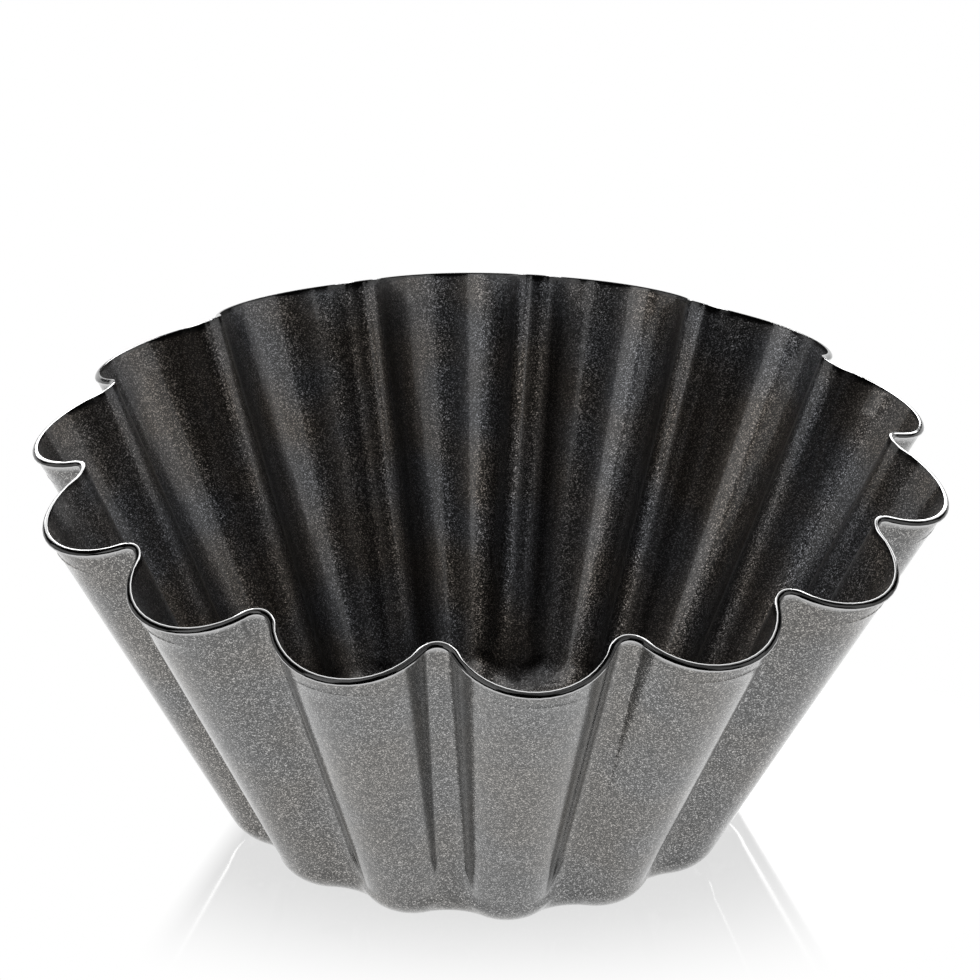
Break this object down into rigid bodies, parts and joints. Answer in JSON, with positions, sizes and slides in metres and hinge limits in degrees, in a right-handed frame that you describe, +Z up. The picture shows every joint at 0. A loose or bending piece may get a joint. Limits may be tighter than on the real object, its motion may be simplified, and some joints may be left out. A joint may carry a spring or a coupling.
{
  "type": "brioche mould",
  "caption": "Open flared baking mould with deep rounded flutes, a wavy turned rim, a flat floor and a dark non-stick coating.",
  "frame": {"origin": "centre of the underside, on the level that the mould stands on", "axes": "+Z up along the axis of the mould, out of its open mouth; a crest of the wall lies on +X"},
  "size_m": [0.22, 0.2154, 0.0958],
  "materials": {
    "sheet_steel": "plain rolled steel sheet under the coatings",
    "inner_coat": "satin near-black non-stick coating with fine metal fleck",
    "outer_coat": "satin dark grey coating with fine metal fleck"
  },
  "bodies": {
    "root": {"steel_shell": "sheet_steel", "inner_coating": "inner_coat", "outer_coating": "outer_coat"}
  },
  "joints": []
}
